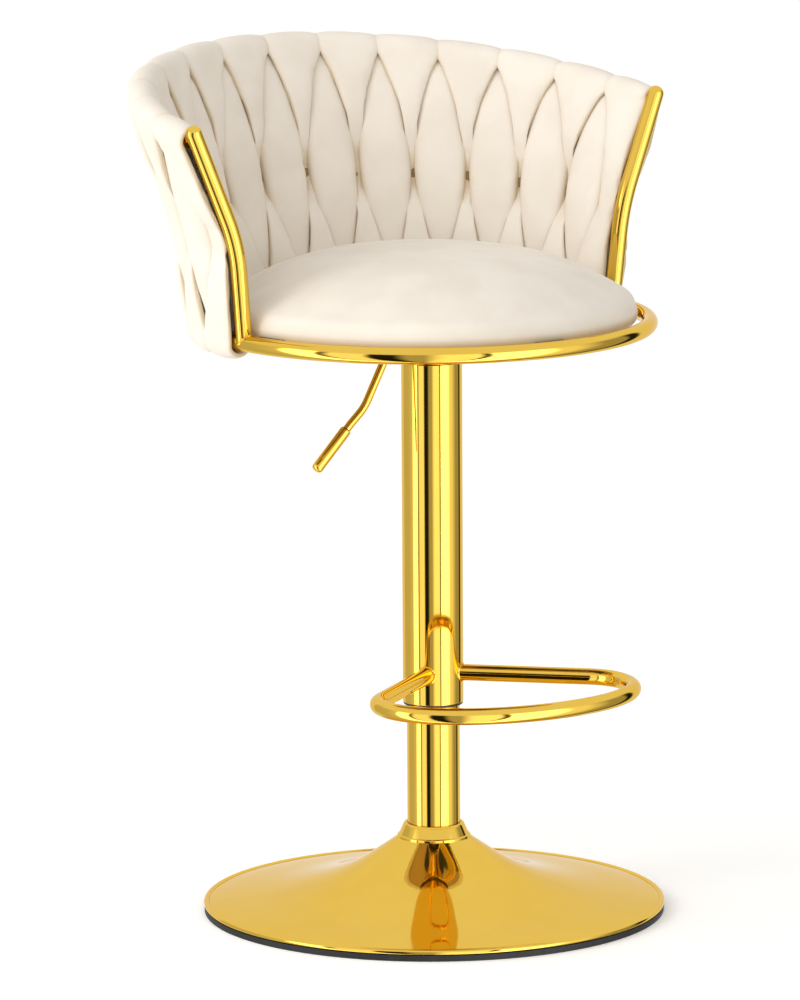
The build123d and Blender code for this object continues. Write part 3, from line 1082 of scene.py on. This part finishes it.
    def build(self, palette: Palette, stuffing: Stuffing) -> SoftPieces:
        """Make and dress every strap, and prepare its stuffing.

        Args:
            palette: the materials.
            stuffing: the cloth simulation.
        Returns:
            The straps, each with the furthest that the simulation may move a point.
        """
        made = [self.build_strap(palette, number) for number in range(self.petal_count + 1)]
        made += [self.build_petal(palette, number) for number in range(self.petal_count)]
        for piece in made:
            creases = piece.data.attributes[CREASE].data
            # The seams hold the cloth, and the crowns between them are nearly free.
            stuffing.prepare(piece, lambda _place, index, c=creases:
                             min(1.0, 0.1 + 1.6 * c[index].value))
        return [(piece, self.most_puff) for piece in made]


@dataclass
class MidBand:
    """The tape round the middle of the back, which shows between the petals."""

    surface: BackSurface
    climb: float = 0.49
    half_thickness: float = 1.9 * MM
    tall: float = 9.5 * MM
    start: float = math.radians(6)

    def build(self, palette: Palette) -> None:
        """Make and dress the tape.

        Args:
            palette: the materials.
        """
        bm = bmesh.new()
        bmesh.ops.create_cube(bm, size=1.0)
        rims = [e for e in bm.edges if abs(e.verts[0].co.x - e.verts[1].co.x) > 0.5]
        bmesh.ops.bevel(bm, geom=rims, offset=0.22, segments=3, affect="EDGES", profile=0.5,
                        material=-1)
        lengthwise = [e for e in bm.edges if abs(e.verts[0].co.x - e.verts[1].co.x) > 0.5]
        bmesh.ops.subdivide_edges(bm, edges=lengthwise, cuts=90)
        for v in bm.verts:
            angle = self.start + (math.pi - 2 * self.start) * (0.5 - v.co.x)
            point, up, out = self.surface.frame(angle, self.climb)
            v.co = point + out * 2 * self.half_thickness * v.co.y + up * self.tall * v.co.z
        palette.add_piece("mid_tape", bm, "seat", "mid_band", Slot.WEBBING)


# ------------------------------------------------------------------ seat
@dataclass
class Cushion:
    """The domed round seat pad, tucked in behind the ring."""

    centre_y: float
    radius: float
    top: float
    bottom: float
    board_top: float
    shy: float = 1.5 * MM
    spread: float = 1.0 * MM

    def build(self, palette: Palette, stuffing: Stuffing) -> SoftPieces:
        """Make and dress the pad, and prepare its stuffing.

        Args:
            palette: the materials.
            stuffing: the cloth simulation.
        Returns:
            The pad with the furthest that the simulation may move a point.
        """
        r, top = self.radius + self.spread, self.top - self.shy
        dome = smooth_profile([(0.0004, top), (0.28 * r, top - 2 * MM), (0.55 * r, top - 9 * MM),
                               (0.77 * r, top - 24 * MM), (0.925 * r, top - 40 * MM),
                               (r - 1 * MM, self.bottom + 8 * MM),
                               (r - 0.6 * MM, self.bottom)], 34)
        under = [(r - 2.5 * MM, self.bottom - 5 * MM), (r - 6 * MM, self.bottom - 4 * MM),
                 (r - 6 * MM, self.board_top + 0.6 * MM), (0.5 * r, self.board_top + 0.4 * MM),
                 (0.0004, self.board_top + 0.4 * MM)]
        bm = bmesh.new()
        crease = bm.verts.layers.float.new(CREASE)
        lathe(bm, dome + under, centre_y=self.centre_y, closed=False, steps=120)
        bmesh.ops.holes_fill(bm, edges=[e for e in bm.edges if e.is_boundary], sides=0)
        for v in bm.verts:
            # Painted warm shade along the bottom 7 mm, where the cover tucks in behind the ring.
            low = max(0.0, min(1.0, 1 - (v.co.z - self.bottom) / (7 * MM)))
            v[crease] = 0.7 * low
            reach = math.hypot(v.co.x, v.co.y - self.centre_y) / r
            if v.co.z > self.board_top + 1 * MM:
                v.co.z += 0.5 * MM * wipe_noise(v.co, 60 * MM, 5.0) * (1 - reach ** 4)
        pad = palette.add_piece("velvet_seat_cushion", bm, "seat", "seat_cushion", Slot.VELVET,
                                soft=True)
        # The cover is stapled under the board, so its skirt stays where it is.
        stuffing.prepare(pad, lambda place, _index: float(place.z < self.board_top + 2 * MM))
        return [(pad, 4 * MM)]


@dataclass
class SeatFrame:
    """The gilded ring and the two uprights that carry the back's rail."""

    ring_radius: float
    ring_height: float
    setback: float
    tube: float
    bend: float = 170 * MM

    def build(self, palette: Palette) -> None:
        """Make and dress the ring and the uprights, with their welds.

        Args:
            palette: the materials.
        """
        bm = bmesh.new()
        bmesh.ops.create_circle(bm, cap_ends=False, segments=48, radius=self.tube,
                                matrix=Matrix.Translation((self.ring_radius, self.setback,
                                                           self.ring_height))
                                @ Matrix.Rotation(math.pi / 2, 4, "X"))
        bmesh.ops.spin(bm, geom=list(bm.verts) + list(bm.edges), cent=(0, self.setback, 0),
                       axis=(0, 0, 1), angle=math.tau, steps=256, use_merge=True)
        palette.add_piece("gilded_ring", bm, "seat", "seat_ring", Slot.GOLD)
        for side, name in ((-1, "upright_left"), (1, "upright_right")):
            foot = Vector((side * self.ring_radius, 0, self.ring_height))
            elbow = Vector((side * 210 * MM, -3 * MM, 628 * MM))
            head = Vector((side * 251 * MM, 1 * MM, 728.5 * MM))
            tip = head + (head - elbow).normalized() * self.tube
            line = spaced(rounded_route([foot, elbow, tip], [self.bend], 40), 5 * MM)
            bm = bmesh.new()
            pipe(bm, line, self.tube, 48, round_end=self.tube)
            self.add_weld(bm, side)
            palette.add_piece(f"gilded_{name}", bm, "seat", name, Slot.GOLD)

    def add_weld(self, bm: Mesh, side: int) -> None:
        """Add the small fillet of weld where an upright meets the ring.

        Args:
            bm: the upright's mesh.
            side: -1 for the left upright and 1 for the right.
        """
        segments = 48
        reach = self.tube + 0.5 * MM
        loop = []
        for i in range(segments):
            turn = math.tau * i / segments
            x = self.ring_radius + reach * math.cos(turn)
            y = reach * math.sin(turn)
            ring_x = math.hypot(x, y - self.setback) - self.ring_radius
            z = self.ring_height + math.sqrt(max(0.0, (self.tube + 0.1 * MM) ** 2 - ring_x ** 2))
            loop.append(Vector((side * x, y, z)))
        loop.append(loop[0].copy())
        pipe(bm, loop, 0.9 * MM, 10)


# ------------------------------------------------------------------ column and base
@dataclass
class Pedestal:
    """Trumpet base, collar, column, sleeve and the rubber ring on the floor."""

    rim: float = 210 * MM
    bead: float = 2.5 * MM
    bead_height: float = 8.2 * MM
    neck: float = 33.4 * MM
    neck_height: float = 68 * MM

    def build(self, palette: Palette) -> None:
        """Make and dress the turned parts.

        Args:
            palette: the materials.
        """
        self.build_shell(palette)
        self.build_collar(palette)
        parts = (
            ("floor_gasket", "base", "floor_ring", Slot.RUBBER,
             [(188, 0), (209.4, 0), (209.4, 5.6), (199.7, 5.6), (199.7, 2.4), (188, 2.4)],
             {0: 0.6, 1: 1.0}),
            ("gilded_column", "base", "column_tube", Slot.GOLD,
             [(22, 6.4), (24, 6.4), (24, 478), (22, 478)], {2: 0.7, 3: 0.5}),
            ("gilded_sleeve", "seat", "footrest_sleeve", Slot.GOLD,
             [(26, 193), (27.5, 193), (27.5, 505), (14.1, 505), (14.1, 501), (26, 501)],
             {0: 0.3, 1: 0.7, 2: 0.8}),
            ("sleeve_liner", "seat", "sleeve_bush", Slot.NYLON,
             [(24.08, 190.8), (27, 190.8), (27, 193), (26, 193), (26, 215), (24.08, 215)],
             {0: 0.5, 1: 0.9}),
        )
        for name, body, node, slot, outline, rounding in parts:
            bm = bmesh.new()
            lathe(bm, in_metres(outline), {corner: r * MM for corner, r in rounding.items()})
            palette.add_piece(name, bm, body, node, slot)

    def build_shell(self, palette: Palette) -> None:
        """Make the trumpet-shaped cover with its rolled rim.

        Args:
            palette: the materials.
        """
        centre = (self.rim - self.bead, self.bead_height)
        flank = in_metres([(52, 54.6), (77, 39.3), (110, 27), (150, 18), (190, 12.4)])
        trumpet = smooth_profile([(self.neck, self.neck_height - 0.4 * MM), *flank,
                                  (centre[0] - 3.0 * MM, centre[1] + 1.7 * MM)], 70)
        groove = [(centre[0] - 2.4 * MM, centre[1] + 1.2 * MM)]
        swings = [math.radians(150 - 300 * i / 16) for i in range(17)]
        rolled = [(centre[0] + self.bead * math.cos(swing),
                   centre[1] + self.bead * math.sin(swing)) for swing in swings]
        under = [(r - 0.8 * MM, z - 2 * MM) for r, z in reversed(trumpet[::5])]
        lip = in_metres([(28, 66), (28, 68)]) + [(self.neck, self.neck_height)]
        bm = bmesh.new()
        lathe(bm, trumpet + groove + rolled + under + lip, steps=256)
        palette.add_piece("gilded_base", bm, "base", "base_shell", Slot.GOLD)

    def build_collar(self, palette: Palette) -> None:
        """Make the collar that closes the gap round the column.

        Args:
            palette: the materials.
        """
        flare = smooth_profile(in_metres([(31.6, 70.4), (29.2, 76), (27.6, 79.6)]), 12)
        foot = in_metres([(27.3, 68), (33.2, 68), (33.2, 69.8)])
        top = in_metres([(26.6, 81), (24.3, 81), (24.3, 76.4), (27.3, 76.4)])
        outline = foot + flare + top
        bm = bmesh.new()
        lathe(bm, outline, {2: 0.7 * MM, 15: 0.5 * MM})
        palette.add_piece("gilded_collar", bm, "base", "base_collar", Slot.GOLD)


@dataclass
class Footrest:
    """The tube loop in front of the sleeve, with the welds of its two arms."""

    height: float
    tube: float = 7.5 * MM
    sleeve: float = 27.5 * MM
    half_width: float = 122.3 * MM
    corner_y: float = -109 * MM
    bow_start: float = -132.7 * MM
    bow_depth: float = 80.5 * MM
    bend: float = 44 * MM
    apex_y: float = -4 * MM
    root_x: float = 15 * MM
    turn: float = math.radians(-5.25)

    def centre_line(self) -> list[Vector]:
        """The loop's centre line, from the right arm's root round to the left one's."""
        slope = (self.corner_y - self.apex_y) / self.half_width
        root = Vector((self.root_x, self.apex_y + slope * self.root_x, self.height))
        corners = [root, Vector((self.half_width, self.corner_y, self.height)),
                   Vector((self.half_width, self.bow_start, self.height))]
        arm = spaced(rounded_route(corners, [self.bend], 24), 6 * MM)
        bow = [Vector((self.half_width * math.cos(turn), self.bow_start + self.bow_depth
                       * math.sin(turn), self.height))
               for turn in (-math.pi * i / 96 for i in range(1, 96))]
        return arm + bow + [Vector((-p.x, p.y, p.z)) for p in reversed(arm)]

    def build(self, palette: Palette) -> None:
        """Make and dress the loop.

        Args:
            palette: the materials.
        """
        bm = bmesh.new()
        line = self.centre_line()
        pipe(bm, line, self.tube, 48)
        inside_wall = self.sleeve - 0.7 * MM
        for end, toward in ((line[0], line[1]), (line[-1], line[-2])):
            along = (toward - end).normalized()
            for v in bm.verts:
                if v.co.x * end.x > 0 and math.hypot(v.co.x, v.co.y) < inside_wall:
                    v.co = self.meet(v.co, along, inside_wall)
            self.add_weld(bm, end, along)
        bmesh.ops.rotate(bm, verts=bm.verts, cent=(0, 0, 0),
                         matrix=Matrix.Rotation(self.turn, 3, "Z"))
        palette.add_piece("gilded_footrest", bm, "seat", "footrest_loop", Slot.GOLD)

    @staticmethod
    def meet(point: Vector, along: Vector, radius: float) -> Vector:
        """Slide a point along an arm to a cylinder round the column.

        Args:
            point: a point inside the cylinder.
            along: direction of the arm.
            radius: the cylinder's radius.
        Returns:
            The point on the cylinder.
        """
        a, b = along.x ** 2 + along.y ** 2, point.x * along.x + point.y * along.y
        c = point.x ** 2 + point.y ** 2 - radius ** 2
        return point + along * ((math.sqrt(max(0.0, b * b - a * c)) - b) / a)

    def add_weld(self, bm: Mesh, end: Vector, along: Vector) -> None:
        """Add the bead of weld where an arm meets the sleeve.

        Args:
            bm: the loop's mesh.
            end: the arm's inner end.
            along: direction of the arm.
        """
        side = along.cross(Vector((0, 0, 1))).normalized()
        up = side.cross(along)
        rim = [end + (side * math.cos(turn) + up * math.sin(turn)) * (self.tube + 0.4 * MM)
               for turn in (math.tau * i / 40 for i in range(41))]
        pipe(bm, [self.meet(p, along, self.sleeve + 0.2 * MM) for p in rim], 0.9 * MM, 10)


@dataclass
class Lever:
    """The height lever: a bent rod with a thicker rounded grip."""

    pivot: Vector
    rod: float = 3.75 * MM
    grip: float = 5.25 * MM

    def build(self, palette: Palette) -> None:
        """Make and dress the rod and the grip.

        Args:
            palette: the materials.
        """
        level = self.pivot.z / MM
        route = [Vector((x, 0, z)) * MM for x, z in (
            (2, level), (-40, level), (-73.5, 469), (-88.6, 455.5), (-120, 423.7))]
        line = spaced(rounded_route(route, [13 * MM, 45 * MM, 20 * MM], 12), 4 * MM)
        bm = bmesh.new()
        pipe(bm, line, self.rod, 32)
        self.add_eye(bm)
        palette.add_piece("gilded_lever", bm, "lever", "lever_rod", Slot.GOLD)
        heading = (route[4] - route[3]).normalized()
        start, end = route[3] + heading * 6 * MM, route[4] + heading * 9 * MM
        bm = bmesh.new()
        pipe(bm, spaced([start, end], 4 * MM), self.grip, 36, round_end=3.6 * MM,
             round_start=2.2 * MM)
        palette.add_piece("gilded_grip", bm, "lever", "lever_grip", Slot.GOLD)

    def add_eye(self, bm: Mesh) -> None:
        """Add the flattened eye through which the pivot pin passes.

        Args:
            bm: the rod's mesh.
        """
        inner, outer, half = 2.05 * MM, 6 * MM, 4.1 * MM
        section = [bm.verts.new((self.pivot.x + r, y, self.pivot.z))
                   for r, y in ((inner, -half), (outer, -half), (outer, half), (inner, half))]
        edges = [bm.edges.new((a, b)) for a, b in zip(section, section[1:] + section[:1])]
        bmesh.ops.spin(bm, geom=section + edges, cent=self.pivot, axis=(0, 1, 0),
                       angle=math.tau, steps=40, use_merge=True)


# ------------------------------------------------------------------ studio
@dataclass
class Studio:
    """Camera, pale floor and the soft lights of a white studio with black flags."""

    view_azimuth: float = math.radians(-34.65)
    distance: float = 6.3415
    camera_height: float = 1.48728
    yaw: float = -0.00459
    pitch: float = 0.17321
    roll: float = -0.00573
    lens: float = 256.68
    floor_size: float = 60.0
    key_bearing: float = math.radians(-50)

    def build(self) -> None:
        """Set up the whole studio."""
        self.add_camera()
        self.add_floor()
        self.add_sky()
        self.add_lights()
        bpy.context.scene.view_settings.view_transform = "Standard"

    def add_camera(self) -> None:
        """Add the camera at its standpoint in front of the stool's right side."""
        data = bpy.data.cameras.new("camera")
        data.lens = self.lens
        camera = add_object("camera", data)
        side = self.view_azimuth
        place = Vector((self.distance * math.sin(side), -self.distance * math.cos(side),
                        self.camera_height))
        camera.matrix_world = (Matrix.Translation(place)
                               @ Matrix.Rotation(side - self.yaw, 4, "Z")
                               @ Matrix.Rotation(math.pi / 2 - self.pitch, 4, "X")
                               @ Matrix.Rotation(self.roll, 4, "Z"))
        bpy.context.scene.camera = camera

    def add_floor(self) -> None:
        """Add the floor, large enough to fill the view."""
        bm = bmesh.new()
        bmesh.ops.create_grid(bm, x_segments=4, y_segments=4, size=self.floor_size / 2)
        mesh = bpy.data.meshes.new("floor")
        bm.to_mesh(mesh)
        bm.free()
        floor = add_object("floor", mesh)
        mesh.materials.append(PaleFloor("matt_white_studio_floor").make())
        # The plating mirrors the softboxes and flags below the horizon too, not the bare floor.
        floor.visible_glossy = False

    def add_sky(self) -> None:
        """Surround the stool with softboxes and flags, which its plating mirrors."""
        world = bpy.data.worlds.new("studio")
        bpy.context.scene.world = world
        world.use_nodes = True
        tree = world.node_tree
        background = tree.nodes["Background"]
        heading = add_node(tree, "ShaderNodeTexCoord").outputs["Generated"]
        towards = self.view_azimuth - math.pi / 2
        turned = add_node(tree, "ShaderNodeVectorRotate", rotation_type="Z_AXIS",
                          inputs={"Vector": heading, "Angle": -towards})
        axes = add_node(tree, "ShaderNodeSeparateXYZ", inputs={"Vector": turned.outputs[0]})
        bearing = add_node(tree, "ShaderNodeMath", operation="ARCTAN2",
                           inputs={0: axes.outputs["Y"], 1: axes.outputs["X"]})
        share = add_node(tree, "ShaderNodeMath", operation="MULTIPLY_ADD",
                         inputs={0: bearing.outputs[0], 1: 1 / math.tau, 2: 0.5})
        walls = add_node(tree, "ShaderNodeValToRGB", inputs={"Fac": share.outputs[0]})
        # Bearings in degrees from the camera, positive to its right, where each wall
        # element starts, how bright it is and how softly it begins.
        elements = ((-180, 0.96, 0), (-133, 0.66, 3), (-92, 0.80, 8), (-77, 3.2, 3),
                    (-57, 0.25, 1), (-51, 1.35, 2), (-30, 0.015, 2), (-13, 0.50, 3),
                    (4, 1.6, 5), (28, 0.10, 1), (33, 3.2, 1), (66, 1.15, 5), (90, 0.42, 10),
                    (119, 0.02, 2), (131, 0.94, 2))
        peak = 4.0
        stops = [(0.0, elements[0][1])]
        for before, (start, level, soft) in zip(elements, elements[1:]):
            stops.append(((start - soft) / 360 + 0.5, before[1]))
            stops.append(((start + soft) / 360 + 0.5, level))
        stops.append((1.0, elements[-1][1]))
        colours = walls.color_ramp.elements
        while len(colours) < len(stops):
            colours.new(0.5)
        for colour, (position, level) in zip(colours, stops):
            colour.position = position
            colour.color = (level / peak, level / peak, level / peak, 1)
        bright = add_node(tree, "ShaderNodeMath", operation="MULTIPLY",
                          inputs={0: walls.outputs["Color"], 1: peak})
        height = ramp(tree, axes.outputs["Z"], 0.26, 0.5)
        ceiling = add_node(tree, "ShaderNodeMix", data_type="FLOAT",
                           inputs={0: height, 2: bright.outputs[0], 3: 0.98})
        # Cloth and floor get an even dome, brighter low on the left than overhead.
        toward_key = add_node(tree, "ShaderNodeVectorMath", operation="DOT_PRODUCT",
                              inputs={0: turned.outputs[0],
                                      1: (math.cos(self.key_bearing), math.sin(self.key_bearing),
                                          -0.32)})
        dome = ramp(tree, toward_key.outputs["Value"], -0.9, 0.95, 0.60, 1.46)
        mirrored = add_node(tree, "ShaderNodeLightPath").outputs["Is Glossy Ray"]
        strength = add_node(tree, "ShaderNodeMix", data_type="FLOAT",
                            inputs={0: mirrored, 2: dome, 3: ceiling.outputs[0]})
        tree.links.new(strength.outputs[0], background.inputs["Strength"])
        background.inputs["Color"].default_value = (1, 1, 1, 1)

    def add_lights(self) -> None:
        """Add the soft key light on the left and a weaker fill on the right."""
        for name, bearing, height, distance, size, power_watts in (
                ("key", -55, 1.9, 3.0, 1.5, 26), ("fill", 40, 2.6, 3.4, 1.8, 2)):
            swing = self.view_azimuth + math.radians(bearing)
            place = Vector((math.sin(swing) * distance, -math.cos(swing) * distance, height))
            data = bpy.data.lights.new(name, "AREA")
            data.shape = "DISK"
            data.size = size
            data.energy = power_watts
            lamp = add_object(name, data)
            lamp.matrix_world = Matrix.Translation(place) @ (
                place - Vector((0, 0, 0.55))).to_track_quat("Z", "Y").to_matrix().to_4x4()
            lamp.visible_glossy = False


# ------------------------------------------------------------------ carried-over nodes
CARRIED: dict[Slot, tuple[str, ...]] = {
    Slot.GOLD: ("top_rail",),
    Slot.STEEL: ("base_plate", "bearing_race_lower", "bearing_balls", "piston_rod",
                 "piston_head", "bearing_race_upper", "rod_clip", "lever_pin", "plate_bolts",
                 "release_button"),
    Slot.BLACK_STEEL: ("lift_tube", "lift_plate", "lift_hub", "frame_bars"),
    Slot.RUBBER: ("bump_stop", "gland_seal"),
    Slot.NYLON: ("column_bush",),
    Slot.PLY: ("seat_board",),
}


def dress_carried(frame: dict, palette: Palette) -> None:
    """Give the CAD nodes that stay their materials.

    Args:
        frame: the loaded frame.
        palette: the materials.
    """
    for slot, names in CARRIED.items():
        for name in names:
            palette.dress_node(frame["nodes"][name], slot)


def add_subdivision(piece: Piece) -> None:
    """Smooth a padded piece with one level of subdivision.

    Args:
        piece: the padded piece.
    """
    smoothing = piece.modifiers.new("Smoothing", "SUBSURF")
    smoothing.levels = smoothing.render_levels = 1


def main() -> None:
    """Build the stool on its frame, and the studio round it."""
    logging.basicConfig(level=logging.INFO)
    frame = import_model()
    palette = Palette()
    Studio().build()

    ring_low, ring_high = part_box("seat_ring")
    tube = (ring_high.z - ring_low.z) / 2
    ring_radius = (ring_high.x - ring_low.x) / 2 - tube
    setback = (ring_low.y + ring_high.y) / 2
    ring_height = (ring_low.z + ring_high.z) / 2
    Pedestal().build(palette)
    loop_low, loop_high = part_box("footrest_loop")
    Footrest(height=(loop_low.z + loop_high.z) / 2).build(palette)
    SeatFrame(ring_radius, ring_height, setback, tube).build(palette)
    pin_low, pin_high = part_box("lever_pin")
    Lever(pivot=(pin_low + pin_high) / 2).build(palette)
    surface = BackSurface(ring_radius, ring_height, setback)
    MidBand(surface).build(palette)

    stuffing = Stuffing()
    pad_low, pad_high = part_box("seat_cushion")
    board_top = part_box("seat_board")[1].z
    cushion = Cushion(setback, (pad_high.x - pad_low.x) / 2, pad_high.z, pad_low.z, board_top)
    soft = WovenBack(surface).build(palette, stuffing)
    soft += cushion.build(palette, stuffing)
    stuffing.run(soft)
    for piece, _ in soft:
        add_subdivision(piece)
    dress_carried(frame, palette)


if __name__ == "__main__":
    main()
